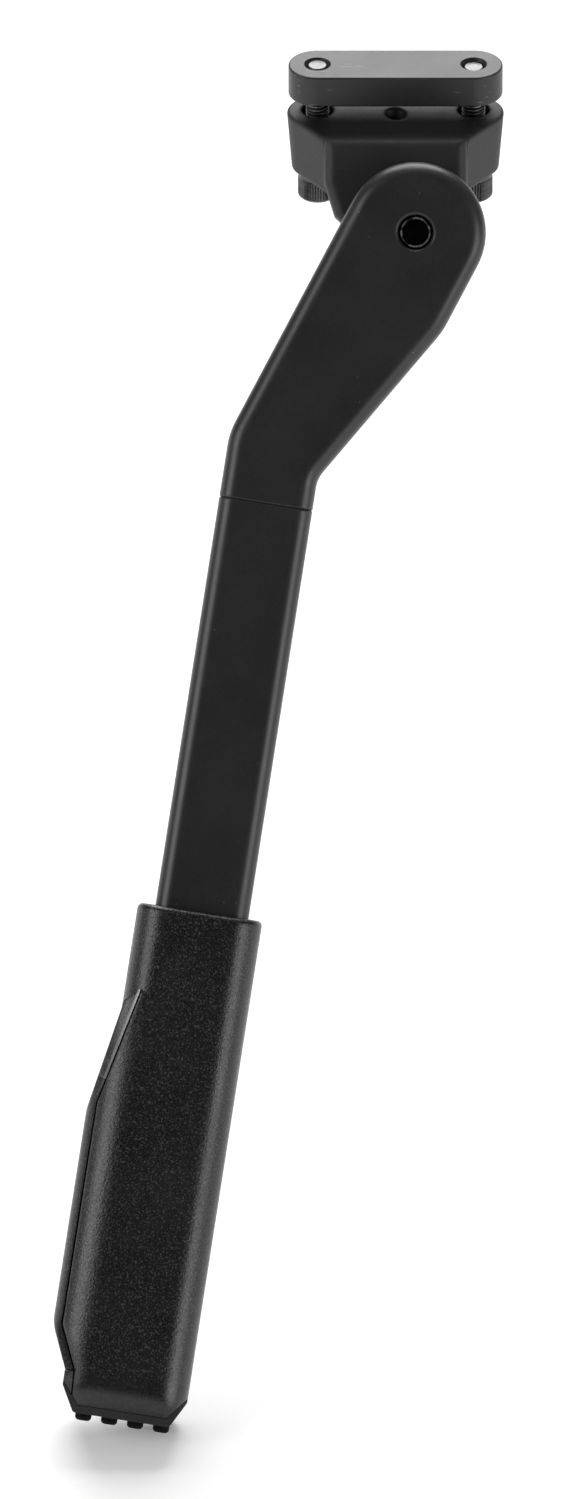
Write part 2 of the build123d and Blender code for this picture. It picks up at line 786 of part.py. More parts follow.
# Side views of the fine grooves that carry the lever's outline on, up the foot and down to the sole
with BuildSketch() as groove_lines:
    with BuildLine():
        Polyline(
            side_point(groove_top_s, groove_top_t),
            side_point(lever_top_s, lever_top_t),
            side_point(lever_top_s, lever_top_t + lever_groove),
            side_point(groove_top_s, groove_top_t + lever_groove),
            close=True,
        )
    make_face()
    with BuildLine():
        Polyline(
            side_point(lever_end_s, groove_end_t),
            side_point(sole_flat_s, groove_end_t + lever_groove),
            side_point(sole_flat_s, groove_end_t + 2 * lever_groove),
            side_point(lever_end_s, groove_end_t + lever_groove),
            close=True,
        )
    make_face()

# Foot shell: a sleeve on the tube, with cheeks for the lever's pin
with BuildPart() as foot_shell:
    add(foot_block.part)
    with BuildSketch(side_plane(-foot_d)):
        add(sole_outline.sketch)
    extrude(amount=2 * foot_d, mode=Mode.SUBTRACT)
    with BuildSketch(section_plane(foot_top_s)):
        with Locations((tube_t, 0)):
            RectangleRounded(
                tube_w + 2 * foot_clearance,
                leg_d + 2 * foot_clearance,
                leg_edge + foot_clearance,
            )
    extrude(amount=cavity_end_s - foot_top_s, mode=Mode.SUBTRACT)
    with BuildSketch(side_plane(-foot_d)):
        add(lever_outline.sketch)
        offset(amount=lever_groove, kind=Kind.INTERSECTION, mode=Mode.REPLACE)
        with Locations(lever_pin_at):
            Circle(cheek_r - cheek_gap, mode=Mode.SUBTRACT)
    extrude(amount=2 * foot_d, mode=Mode.SUBTRACT)
    with BuildSketch(side_plane(-lever_rib_w / 2 - lever_groove)):
        add(rib_outline.sketch)
        offset(amount=lever_groove, kind=Kind.INTERSECTION, mode=Mode.REPLACE)
    extrude(amount=lever_rib_w + 2 * lever_groove, mode=Mode.SUBTRACT)
    with BuildSketch(side_plane(-slot_w / 2)):
        add(lever_outline.sketch)
        offset(amount=lever_groove, kind=Kind.INTERSECTION, mode=Mode.REPLACE)
        with Locations(lever_pin_at):
            Circle(knuckle_sweep_r + lever_groove)
        with Locations(knuckle_at):
            Circle(knuckle_r + lever_groove)
        with Locations(lever_pin_at):
            Rectangle(ridge_root, knuckle_sweep_r + lever_groove, align=(Align.MAX, Align.MIN))
    extrude(amount=slot_w, mode=Mode.SUBTRACT)
    with BuildSketch(Plane(origin=pad_place, x_dir=s_dir, z_dir=-t_dir)):
        Rectangle(pad_length + 2 * seat_clearance, pad_w + 2 * seat_clearance)
    extrude(amount=pad_h / 2 + seat_clearance, both=True, mode=Mode.SUBTRACT)
    with BuildSketch(side_plane(-foot_d / 2)):
        with Locations(lever_pin_at):
            Circle(lever_pin_d / 2)
    extrude(amount=foot_d / 2 + lever_pin_h / 2, mode=Mode.SUBTRACT)
    for depth in (groove_line_w, -groove_line_w - foot_corner_r):
        with BuildSketch(side_plane(depth)):
            add(groove_lines.sketch)
        extrude(amount=foot_corner_r, mode=Mode.SUBTRACT)
    with BuildSketch(back_plane(stop_screw_s, tube_t, foot_back)):
        Circle(stop_screw_d / 2)
    extrude(amount=-foot_wall_face - foot_clearance, mode=Mode.SUBTRACT)
    with BuildSketch(back_plane(stop_screw_s, tube_t, foot_back)):
        Circle(stop_screw_head_d / 2)
    extrude(amount=-stop_screw_head_h, taper=stop_screw_taper, mode=Mode.SUBTRACT)
    with BuildSketch(section_plane(sole_flat_s)):
        with Locations((foot_t, 0)):
            with GridLocations(peg_pitch, 0, 2, 1):
                Circle(peg_d / 2)
    extrude(amount=-peg_h, mode=Mode.SUBTRACT)
foot_shell.part.label = "foot_shell"

# Sole, with nubs below and two pegs in the foot
with BuildPart() as foot_sole:
    add(foot_block.part)
    with BuildSketch(side_plane(-foot_d)):
        add(sole_outline.sketch)
        offset(amount=-sole_seam, kind=Kind.INTERSECTION, mode=Mode.REPLACE)
    extrude(amount=2 * foot_d, mode=Mode.INTERSECT)
    with BuildSketch(section_plane(foot_base_s)):
        with Locations((tube_t, 0)):
            with GridLocations(nub_pitch, nub_row_pitch, nub_count, nub_rows):
                Circle(nub_d / 2)
    extrude(amount=nub_h)
    nub_rims = foot_sole.edges().filter_by(GeomType.CIRCLE).group_by(along_leg)[-1]
    fillet(nub_rims, nub_edge)
    with BuildSketch(section_plane(sole_flat_s + sole_seam)):
        with Locations((foot_t, 0)):
            with GridLocations(peg_pitch, 0, 2, 1):
                Circle(peg_d / 2 - seat_clearance)
    extrude(amount=-peg_h)
foot_sole.part.label = "foot_sole"

# Release lever, whose eccentric knuckle presses the pad on the tube
with BuildPart() as release_lever:
    add(ridge.part)
    with BuildSketch(side_plane(-foot_d)):
        add(lever_outline.sketch)
    extrude(amount=2 * foot_d, mode=Mode.INTERSECT)
    for depth in (-foot_d, knuckle_w / 2):
        with BuildSketch(side_plane(depth)):
            with Locations(lever_pin_at):
                Circle(cheek_r)
        extrude(amount=foot_d - knuckle_w / 2, mode=Mode.SUBTRACT)
    with BuildSketch(side_plane(-knuckle_w / 2)):
        with Locations(knuckle_at):
            Circle(knuckle_r)
    extrude(amount=knuckle_w)
    with BuildSketch(side_plane(-lever_rib_w / 2)):
        add(rib_outline.sketch)
    extrude(amount=lever_rib_w)
    with BuildSketch(side_plane(-knuckle_w / 2)):
        with Locations(lever_pin_at):
            Circle(lever_pin_d / 2 + shaft_clearance)
    extrude(amount=knuckle_w, mode=Mode.SUBTRACT)
release_lever.part.label = "release_lever"

# Hinge pin of the lever
with BuildPart() as lever_pin:
    with BuildSketch(side_plane(-lever_pin_h / 2)):
        with Locations(lever_pin_at):
            Circle(lever_pin_d / 2)
    extrude(amount=lever_pin_h)
lever_pin.part.label = "lever_pin"

# Pad between the knuckle and the tube
with BuildPart() as brake_pad:
    with BuildSketch(Plane(origin=pad_place, x_dir=s_dir, z_dir=-t_dir)):
        Rectangle(pad_length, pad_w)
    extrude(amount=pad_h / 2, both=True)
brake_pad.part.label = "brake_pad"

# Countersunk screw whose tip runs in the tube's slot
with BuildPart() as foot_stop_screw:
    with BuildSketch(back_plane(stop_screw_s, tube_t, foot_back)):
        Circle(stop_screw_d / 2)
    extrude(amount=-foot_wall_face - foot_clearance - stop_screw_tip)
    with BuildSketch(back_plane(stop_screw_s, tube_t, foot_back)):
        Circle(stop_screw_head_d / 2)
    extrude(amount=-stop_screw_head_h, taper=stop_screw_taper)
    with BuildSketch(back_plane(stop_screw_s, tube_t, foot_back)):
        RegularPolygon(stop_screw_socket_w / 2, 6, major_radius=False)
    extrude(amount=-stop_screw_socket_depth, mode=Mode.SUBTRACT)
foot_stop_screw.part.label = "foot_stop_screw"

os.makedirs("parts", exist_ok=True)
pieces = (
    clamp_plate,
    mount_screws,
    spring_washers,
    bracket,
    pivot_bush,
    stop_pin,
    detent_plunger,
    detent_spring,
    detent_plug,
    cam_hub,
    hub_dowels,
    pivot_bolt,
    pivot_washer,
    leg_arm,
    leg_tube,
    tube_set_screws,
    tube_end_plug,
    foot_shell,
    foot_sole,
    release_lever,
    lever_pin,
    brake_pad,
    foot_stop_screw,
)
for piece in pieces:
    export_step(piece.part, f"parts/{piece.part.label}.step")
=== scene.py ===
"""Finishes a bicycle kickstand: satin coats, moulded plastic, knurled screws and a pale studio."""

import json
import math

import bmesh
import bpy
from bpy.props import FloatProperty, FloatVectorProperty, IntProperty, PointerProperty
from mathutils import Matrix, Vector


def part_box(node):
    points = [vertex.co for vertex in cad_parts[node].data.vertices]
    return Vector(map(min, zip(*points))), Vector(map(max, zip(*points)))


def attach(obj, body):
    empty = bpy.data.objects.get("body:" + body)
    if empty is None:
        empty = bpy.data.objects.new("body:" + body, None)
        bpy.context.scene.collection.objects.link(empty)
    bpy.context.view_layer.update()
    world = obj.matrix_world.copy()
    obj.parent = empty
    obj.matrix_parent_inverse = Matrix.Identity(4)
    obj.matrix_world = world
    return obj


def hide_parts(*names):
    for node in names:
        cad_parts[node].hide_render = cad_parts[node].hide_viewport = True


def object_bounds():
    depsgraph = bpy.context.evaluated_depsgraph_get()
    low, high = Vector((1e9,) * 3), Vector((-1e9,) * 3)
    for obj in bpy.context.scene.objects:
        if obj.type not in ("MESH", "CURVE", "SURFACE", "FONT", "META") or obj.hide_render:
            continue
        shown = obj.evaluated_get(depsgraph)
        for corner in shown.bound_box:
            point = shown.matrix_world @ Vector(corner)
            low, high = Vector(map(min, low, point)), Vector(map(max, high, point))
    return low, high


bl_info = {
    "name": "Kickstand Finish",
    "version": (1, 0, 0),
    "blender": (4, 5, 0),
    "location": "3D View > Sidebar > Kickstand",
    "description": "Dresses a bicycle kickstand's solids with finishes, fine screws and a studio",
    "category": "Object",
}

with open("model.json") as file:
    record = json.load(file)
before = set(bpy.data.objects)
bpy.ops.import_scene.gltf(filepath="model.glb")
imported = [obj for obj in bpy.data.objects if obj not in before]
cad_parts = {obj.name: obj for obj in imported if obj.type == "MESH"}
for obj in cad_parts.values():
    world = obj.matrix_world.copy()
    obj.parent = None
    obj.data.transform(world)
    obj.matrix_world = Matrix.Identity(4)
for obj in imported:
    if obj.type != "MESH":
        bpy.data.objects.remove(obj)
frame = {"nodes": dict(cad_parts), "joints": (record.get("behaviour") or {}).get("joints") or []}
cad_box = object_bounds()

# Directions of the stand: outwards along the pivot, down the leg, across the leg, along the line of
# the fixing screws, and up the plane in which the leg swings
JOINTS = {joint["name"]: joint for joint in frame["joints"]}
PIVOT_DIR = Vector(JOINTS["leg_fold"]["axis"]).normalized()
LEG_DIR = Vector(JOINTS["foot_extend"]["axis"]).normalized()
ACROSS_DIR = PIVOT_DIR.cross(LEG_DIR)
RIGHT_DIR = Vector((1, 0, 0))
UP_DIR = PIVOT_DIR.cross(RIGHT_DIR)

# Places of the fixing screws, from the solids that they stand for and those they pass through
SCREW_LOW, SCREW_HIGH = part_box("mount_screws")
HEAD_R = (SCREW_HIGH.y - SCREW_LOW.y) / 2
SCREW_X = SCREW_HIGH.x - HEAD_R
HEAD_SEAT_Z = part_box("spring_washers")[0].z
PLATE_TOP_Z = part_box("clamp_plate")[1].z

# Fineness of the patterns in the finishes, per metre
COAT_PEEL = 3200.0
COAT_DRIFT = 60.0
COAT_SPECKS = 330.0
COAT_SCUFFS = 1300.0
SCUFF_PATCHES = 90.0
PLASTIC_GRAIN = 1900.0
PLASTIC_DRIFT = 45.0
# Painted glints: lighter specks in the plastic's colour that stand in for the sparkle of its grain
PLASTIC_PAINTED_GLINTS = 2300.0
RUBBER_GRAIN = 2600.0
RUBBER_DRIFT = 120.0
METAL_STAINS = 420.0
BOLT_PATCHES = 700.0
FLOOR_DRIFT = 3.0

# Tool marks of the metals: marks per metre, and the tone in their hollows as a share of the metal's
BRIGHT_MARKS = {"marks": 6000.0, "dullness": 0.7}
TIP_MARKS = {"marks": 6000.0, "dullness": 0.6}
BLACK_MARKS = {"marks": 5000.0, "dullness": 0.5}
WIRE_MARKS = {"marks": 9000.0, "dullness": 0.5}

# Heights above the foot's lower end between which its grain fades and its edges grow softer
GRAIN_FADES = (0.01, 0.006)
EDGES_SOFTEN = (0.022, 0.014)

# Share of a fine size within which doubled corners are merged
MERGE_SHARE = 0.001

EDGE_SAMPLES = 8
HEXAGON_SIDES = 6
FLOOR_SEGMENTS = 96

# Settings that properties of one kind share
LENGTH = {"subtype": "DISTANCE", "unit": "LENGTH", "precision": 5}
ANGLE = {"subtype": "ANGLE", "unit": "ROTATION"}
COLOR = {"subtype": "COLOR", "min": 0, "max": 1}


class KickstandScrewSizes(bpy.types.PropertyGroup):
    """Sizes of the fixing screws' fine detail."""

    knurl_count: IntProperty(name="Knurl count", description="Flutes round a screw head", default=44, min=12)
    knurl_depth: FloatProperty(name="Knurl depth", description="Depth of a flute", default=0.00022, **LENGTH)
    head_edge: FloatProperty(
        name="Head edge", description="Bevel at the head's outer end", default=0.0006, **LENGTH
    )
    seat_edge: FloatProperty(name="Seat edge", description="Bevel under the head", default=0.0003, **LENGTH)
    socket_width: FloatProperty(
        name="Socket width", description="Hexagon socket across its flats", default=0.005, **LENGTH
    )
    socket_depth: FloatProperty(
        name="Socket depth", description="Depth of the hexagon socket", default=0.003, **LENGTH
    )
    thread_d: FloatProperty(
        name="Thread", description="Diameter over the thread's crests", default=0.006, **LENGTH
    )
    thread_pitch: FloatProperty(
        name="Pitch", description="Rise of the thread in one turn", default=0.001, **LENGTH
    )
    thread_depth: FloatProperty(
        name="Thread depth", description="Depth of the thread", default=0.00055, **LENGTH
    )
    thread_steps: IntProperty(
        name="Thread steps", description="Facets in a turn of the thread", default=40, min=12
    )
    tip_length: FloatProperty(
        name="Bare tip", description="Length of the bare turned tip", default=0.0016, **LENGTH
    )
    tip_dome: FloatProperty(
        name="Tip dome", description="Rise of the tip's domed end", default=0.0002, **LENGTH
    )
    tip_edge: FloatProperty(name="Tip bevel", description="Bevel round the tip", default=0.00025, **LENGTH)
    tip_drop: FloatProperty(
        name="Tip drop", description="Depth of the right screw's tip below the plate",
        default=0.0005, **LENGTH,
    )


class KickstandFinish(bpy.types.PropertyGroup):
    """Tones of the finishes, and sizes of their bare and softened places and of the painted lip highlight."""

    coat_dark: FloatVectorProperty(
        name="Coat, dark", description="Darkest tone of the leg's satin coat",
        default=(0.0065, 0.0065, 0.0067), **COLOR,
    )
    coat_light: FloatVectorProperty(
        name="Coat, light", description="Lightest tone of the leg's satin coat",
        default=(0.0165, 0.0165, 0.0169), **COLOR,
    )
    cast_dark: FloatVectorProperty(
        name="Cast coat, dark", description="Darkest tone of the bracket's and plate's coat",
        default=(0.0042, 0.0042, 0.0043), **COLOR,
    )
    cast_light: FloatVectorProperty(
        name="Cast coat, light", description="Lightest tone of the bracket's and plate's coat",
        default=(0.0108, 0.0108, 0.0111), **COLOR,
    )
    dust: FloatVectorProperty(
        name="Dust", description="Tone of specks and scuffs on the coats", default=(0.12, 0.12, 0.12), **COLOR
    )
    bracket_edge: FloatProperty(
        name="Bracket edges", description="Radius that softens the bracket's edges", default=0.0016, **LENGTH
    )
    leg_edge: FloatProperty(
        name="Leg edges", description="Radius that softens the leg's edges", default=0.0006, **LENGTH
    )
    plastic_dark: FloatVectorProperty(
        name="Plastic, dark", description="Darkest tone of the foot's plastic",
        default=(0.0004, 0.0004, 0.00041), **COLOR,
    )
    plastic_light: FloatVectorProperty(
        name="Plastic, light", description="Lightest tone of the foot's plastic",
        default=(0.005, 0.005, 0.0051), **COLOR,
    )
    # Painted glints: tone of the lighter specks that stand in for the sparkle of the plastic's grain
    plastic_glint: FloatVectorProperty(
        name="Plastic, glint", description="Tone of the painted glints on the grain",
        default=(0.042, 0.042, 0.0425), **COLOR,
    )
    # Painted highlight: a light tone laid along the lever's lip and edges where light would catch them
    plastic_painted_highlight: FloatVectorProperty(
        name="Plastic, painted highlight", description="Tone of the painted highlight on the lever's lip and edges",
        default=(0.7, 0.7, 0.705), **COLOR,
    )
    foot_edge: FloatProperty(
        name="Foot edges", description="Radius that softens the foot's edges", default=0.001, **LENGTH
    )
    lever_edge: FloatProperty(
        name="Lever edges", description="Radius that softens the lever's edges", default=0.0007, **LENGTH
    )
    # Sizes of the painted highlight along the lever's lip
    lip_top: FloatVectorProperty(
        name="Lip, top", description="Upper end of the painted lip highlight, down and across the leg",
        default=(0.2326, -0.0295), size=2, unit="LENGTH", precision=5,
    )
    lip_end: FloatVectorProperty(
        name="Lip, end", description="Lower end of the painted lip highlight, down and across the leg",
        default=(0.2628, -0.0363), size=2, unit="LENGTH", precision=5,
    )
    lip_width: FloatProperty(
        name="Lip width", description="Width over which the painted lip highlight fades", default=0.0008, **LENGTH
    )
    sole: FloatVectorProperty(
        name="Sole", description="Tone of the sole above its nubs", default=(0.017, 0.017, 0.0172), **COLOR
    )
    nubs: FloatVectorProperty(
        name="Nubs", description="Tone of the sole's nubs", default=(0.0025, 0.0025, 0.0025), **COLOR
    )
    nub_length: FloatProperty(
        name="Nub length", description="Length of the sole's nubs", default=0.00175, **LENGTH
    )
    pad: FloatVectorProperty(
        name="Pad", description="Tone of the brake pad", default=(0.3, 0.29, 0.26), **COLOR
    )
    black_screw: FloatVectorProperty(
        name="Blackened steel", description="Tone of the blackened screws",
        default=(0.11, 0.11, 0.112), **COLOR,
    )
    bolt_black: FloatVectorProperty(
        name="Pivot bolt", description="Tone of the blackened pivot bolt",
        default=(0.012, 0.012, 0.0122), **COLOR,
    )
    bolt_rim: FloatProperty(
        name="Bolt rim", description="Depth of the bare rim at the pivot bolt's end", default=0.0003, **LENGTH
    )
    steel: FloatVectorProperty(
        name="Bright steel", description="Tone of bare steel", default=(0.72, 0.72, 0.73), **COLOR
    )
    tip_steel: FloatVectorProperty(
        name="Screw tips", description="Tone of the fixing screws' bare tips",
        default=(0.16, 0.16, 0.162), **COLOR,
    )
    hardened: FloatVectorProperty(
        name="Hardened steel", description="Tone of the drum, pins, plunger and spring",
        default=(0.32, 0.31, 0.3), **COLOR,
    )
    bronze: FloatVectorProperty(
        name="Bronze", description="Tone of the pivot's bush", default=(0.5, 0.31, 0.13), **COLOR
    )


class KickstandStage(bpy.types.PropertyGroup):
    """The floor, the lights and the camera."""

    floor_color: FloatVectorProperty(
        name="Floor", description="Tone of the floor", default=(0.92, 0.92, 0.92), **COLOR
    )
    floor_glow: FloatProperty(name="Floor glow", description="Light that the floor gives off", default=0.2)
    floor_radius: FloatProperty(name="Floor radius", description="Radius of the floor", default=30, **LENGTH)
    back_light: FloatProperty(
        name="Back light", description="Strength of the broad light behind", default=3.2
    )
    back_height: FloatProperty(
        name="Back height", description="Angle of the back light above the floor",
        default=math.radians(45), **ANGLE,
    )
    back_spread: FloatProperty(
        name="Back spread", description="Angle that the back light fills", default=math.radians(50), **ANGLE
    )
    top_light: FloatProperty(name="Top light", description="Strength of the light overhead", default=0.1)
    side_light: FloatProperty(
        name="Side lights", description="Strength of the light on each side", default=1.25
    )
    side_angle: FloatProperty(
        name="Side angle", description="Angle of the side lights from the camera",
        default=math.radians(55), **ANGLE,
    )
    side_tilt: FloatProperty(
        name="Side tilt", description="Angle that the left light is raised and the right one lowered",
        default=math.radians(14), **ANGLE,
    )
    side_spread: FloatProperty(
        name="Side spread", description="Angle that a side light or the top light fills",
        default=math.radians(36), **ANGLE,
    )
    sky_front: FloatProperty(
        name="Sky, front", description="Brightness of the sky behind the camera", default=0.16
    )
    sky_back: FloatProperty(
        name="Sky, back", description="Brightness of the sky behind the stand", default=0.35
    )
    sky_seen: FloatProperty(
        name="Sky, seen", description="Brightness of the sky in the picture", default=1.4
    )
    image_px: FloatVectorProperty(
        name="Image", description="Width and height of the picture in pixels", default=(585, 1499), size=2
    )
    origin_px: FloatVectorProperty(
        name="Origin", description="Pixel on which the stand's origin falls", default=(395.7, 108.4), size=2
    )
    px_per_metre: FloatProperty(name="Scale", description="Pixels that a metre fills", default=3910)
    camera_distance: FloatProperty(
        name="Camera distance", description="From the camera to the bracket's face", default=6, **LENGTH
    )


def reach(name, direction):
    """How far a CAD node reaches in a direction from the origin."""
    return max(vert.co.dot(direction) for vert in frame["nodes"][name].data.vertices)


def feed(tree, sockets, values):
    """Links or sets a node's input sockets, by name or number."""
    for name, value in values.items():
        if isinstance(value, bpy.types.NodeSocket):
            tree.links.new(value, sockets[name])
        else:
            sockets[name].default_value = value


def place(tree, kind, values=None, **settings):
    """Adds a node, gives it its settings, and feeds its inputs."""
    made = tree.nodes.new(kind)
    for name, value in settings.items():
        setattr(made, name, value)
    feed(tree, made.inputs, values or {})
    return made


def sums(tree, operation, first, second):
    """Output of a Math node on two values."""
    return place(tree, "ShaderNodeMath", {0: first, 1: second}, operation=operation).outputs[0]


def dot(tree, first, second):
    """Dot product of two vectors."""
    made = place(tree, "ShaderNodeVectorMath", {0: first, 1: second}, operation="DOT_PRODUCT")
    return made.outputs["Value"]


def round_parts(tree, vector):
    """A vector's distance from its Z axis, and its height along it."""
    parts = place(tree, "ShaderNodeSeparateXYZ", {0: vector}).outputs
    flat = place(tree, "ShaderNodeCombineXYZ", {0: parts[0], 1: parts[1]}).outputs[0]
    radius = place(tree, "ShaderNodeVectorMath", {0: flat}, operation="LENGTH").outputs["Value"]
    return radius, parts[2]


def noise(tree, vector, scale, detail=2.0):
    """Value of a noise texture at a scale per metre."""
    made = place(tree, "ShaderNodeTexNoise", {"Vector": vector, "Scale": scale, "Detail": detail})
    return made.outputs[0]


def remap(tree, value, span, low=0.0, high=1.0):
    """A value brought from a span to the range from low to high, and held there."""
    values = {"Value": value, "From Min": span[0], "From Max": span[1], "To Min": low, "To Max": high}
    return place(tree, "ShaderNodeMapRange", values).outputs[0]


def blend_colors(tree, factor, first, second):
    """Colour between two, by a factor."""
    first, second = (v if isinstance(v, bpy.types.NodeSocket) else (*v, 1) for v in (first, second))
    made = place(tree, "ShaderNodeMix", {0: factor, 6: first, 7: second}, data_type="RGBA")
    return made.outputs[2]


def start_group(name, inputs, outputs):
    """A shader node group with named sockets, what it is given and what it puts out."""
    group = bpy.data.node_groups.new(name, "ShaderNodeTree")
    for label, kind in inputs.items():
        group.interface.new_socket(name=label, in_out="INPUT", socket_type=f"NodeSocket{kind}")
    for label, kind in outputs.items():
        group.interface.new_socket(name=label, in_out="OUTPUT", socket_type=f"NodeSocket{kind}")
    return group, group.nodes.new("NodeGroupInput").outputs, group.nodes.new("NodeGroupOutput").inputs


def grain_group(name):
    """Fine grain with slow drifts of tone and gloss, for coats, plastic and rubber."""
    group, given, put = start_group(
        name,
        {
            "Vector": "Vector", "Dark": "Color", "Light": "Color", "Grain": "Float",
            "Drift": "Float", "Smooth": "Float", "Rough": "Float",
        },
        {"Color": "Color", "Roughness": "Float", "Height": "Float"},
    )
    drift_share, tone_span, gloss_span = 0.4, (0.52, 0.9), (0.5, 1.3)
    drift = noise(group, given["Vector"], given["Drift"], detail=3.0)
    fine = noise(group, given["Vector"], given["Grain"])
    pits = place(
        group, "ShaderNodeTexVoronoi", {"Vector": given["Vector"], "Scale": given["Grain"]},
        feature="SMOOTH_F1",
    ).outputs["Distance"]
    slow = sums(group, "MULTIPLY", drift, drift_share)
    tone = remap(group, sums(group, "ADD", fine, slow), tone_span)
    dull = sums(group, "ADD", pits, drift)
    feed(group, put, {
        "Color": blend_colors(group, tone, given["Dark"], given["Light"]),
        "Roughness": remap(group, dull, gloss_span, given["Smooth"], given["Rough"]),
        "Height": fine,
    })
    return group


def specks_group(name):
    """Masks of stray dust specks and of short scuffs."""
    group, given, put = start_group(
        name,
        {"Vector": "Vector", "Specks per metre": "Float", "Scuffs per metre": "Float"},
        {"Specks": "Float", "Scuffs": "Float"},
    )
    speck_span, speck_pick = (0.03, 0.06), 0.72
    scuff_turn, scuff_stretch, scuff_span, patch_span = 0.5, 0.12, (0.66, 0.72), (0.5, 0.62)
    spots = place(
        group, "ShaderNodeTexVoronoi", {"Vector": given["Vector"], "Scale": given["Specks per metre"]}
    ).outputs
    near = remap(group, spots["Distance"], speck_span, 1.0, 0.0)
    chosen = sums(group, "GREATER_THAN", spots["Color"], speck_pick)
    slanted = place(
        group, "ShaderNodeMapping",
        {"Vector": given["Vector"], "Rotation": (0, 0, scuff_turn), "Scale": (scuff_stretch, 1, 1)},
    ).outputs[0]
    lines = remap(group, noise(group, slanted, given["Scuffs per metre"], detail=1.0), scuff_span)
    patches = remap(group, noise(group, given["Vector"], SCUFF_PATCHES), patch_span)
    feed(group, put, {
        "Specks": sums(group, "MULTIPLY", near, chosen),
        "Scuffs": sums(group, "MULTIPLY", lines, patches),
    })
    return group


def turned_group(name):
    """Fine tool marks round an axis through the vector's origin, along its Z, and slight stains."""
    group, given, put = start_group(
        name,
        {"Vector": "Vector", "Marks per metre": "Float", "Bright": "Color", "Dull": "Color"},
        {"Color": "Color", "Roughness": "Float", "Height": "Float"},
    )
    tone_span, stain_span, smooth, rough = (0.7, 1.3), (0.3, 0.7), 0.18, 0.42
    radius, height = round_parts(group, given["Vector"])
    around = place(group, "ShaderNodeCombineXYZ", {0: radius, 2: height}).outputs[0]
    marks = noise(group, around, given["Marks per metre"], detail=1.0)
    stains = noise(group, given["Vector"], METAL_STAINS, detail=3.0)
    tone = remap(group, sums(group, "ADD", marks, stains), tone_span)
    feed(group, put, {
        "Color": blend_colors(group, tone, given["Dull"], given["Bright"]),
        "Roughness": remap(group, stains, stain_span, smooth, rough),
        "Height": marks,
    })
    return group


def group_outputs(tree, name, make, values):
    """Outputs of a shared node group, made at its first use, with a material's own values."""
    group = bpy.data.node_groups.get(name) or make(name)
    return place(tree, "ShaderNodeGroup", values, node_tree=group).outputs


def start_material(name):
    """A new material, its tree, its shader and the piece's own coordinates."""
    material = bpy.data.materials.new(name)
    material.use_nodes = True
    tree = material.node_tree
    tree.nodes.clear()
    shader = tree.nodes.new("ShaderNodeBsdfPrincipled")
    place(tree, "ShaderNodeOutputMaterial", {"Surface": shader.outputs[0]})
    coords = tree.nodes.new("ShaderNodeTexCoord").outputs["Object"]
    return material, tree, shader, coords


def soft_edges(tree, radius):
    """Normal that rounds the edges by a radius."""
    return place(tree, "ShaderNodeBevel", {"Radius": radius}, samples=EDGE_SAMPLES).outputs[0]


def bump(tree, height, strength, depth, normal=None):
    """Normal of a surface with a height as bump, over another normal where one is given."""
    values = {"Height": height, "Strength": strength, "Distance": depth}
    if normal is not None:
        values["Normal"] = normal
    return place(tree, "ShaderNodeBump", values).outputs[0]


def grain_outputs(tree, coords, dark, light, grain, drift, smooth, rough):
    """Colour, roughness and height of the fine grain."""
    values = {
        "Vector": coords, "Dark": (*dark, 1), "Light": (*light, 1),
        "Grain": grain, "Drift": drift, "Smooth": smooth, "Rough": rough,
    }
    return group_outputs(tree, "fine grain", grain_group, values)


def coat_material(name, dark, light, dust, smooth, rough, scuffs, edge=None):
    """Satin black coat: fine peel, dust specks, scuffs of a strength, and edges softened by a radius."""
    material, tree, shader, coords = start_material(name)
    grain = grain_outputs(tree, coords, dark, light, COAT_PEEL, COAT_DRIFT, smooth, rough)
    marks = group_outputs(
        tree, "specks and scuffs", specks_group,
        {"Vector": coords, "Specks per metre": COAT_SPECKS, "Scuffs per metre": COAT_SCUFFS},
    )
    scuffed = sums(tree, "MULTIPLY", marks["Scuffs"], scuffs)
    wear_and_highlight_strength = sums(tree, "MAXIMUM", marks["Specks"], scuffed)
    normal = soft_edges(tree, edge) if edge else None
    feed(tree, shader.inputs, {
        "Base Color": blend_colors(tree, wear_and_highlight_strength, grain["Color"], dust),
        "Roughness": grain["Roughness"],
        "Normal": bump(tree, grain["Height"], strength=0.1, depth=0.0001, normal=normal),
    })
    return material


def painted_lip_highlight(tree, coords, finish):
    """Mask of the painted highlight on the lip along the lever's outline, strongest at its upper end."""
    ends = (finish.lip_top, finish.lip_end)
    top, end = (LEG_DIR * down + ACROSS_DIR * aside for down, aside in ends)
    way = (end - top).normalized()
    outwards = way.cross(PIVOT_DIR)
    across, along = dot(tree, coords, outwards), dot(tree, coords, way)
    rim, first, last = top.dot(outwards), top.dot(way), end.dot(way)
    margin = finish.lip_width / 8
    near = remap(tree, across, (rim, rim + finish.lip_width), 1.0, 0.0)
    outer = sums(tree, "GREATER_THAN", across, rim - margin)
    below = sums(tree, "GREATER_THAN", along, first)
    fade = sums(tree, "MULTIPLY", remap(tree, along, (first, last), 1.0, 0.0), below)
    return sums(tree, "MULTIPLY", sums(tree, "MULTIPLY", near, outer), fade)


def painted_edge_highlight(tree, down, normal, edge_highlight):
    """Mask of the painted highlight on the lever's edges, strongest at its upper end and least from its
    middle on.
    """
    flat = tree.nodes.new("ShaderNodeNewGeometry").outputs["Normal"]
    top, end = -reach("release_lever", -LEG_DIR), reach("release_lever", LEG_DIR)
    wear_and_highlight_strength = remap(tree, down, (top, (top + end) / 2), edge_highlight, edge_highlight / 4)
    edge_span = (0.8, 0.97)
    return remap(tree, dot(tree, normal, flat), edge_span, wear_and_highlight_strength, 0.0)


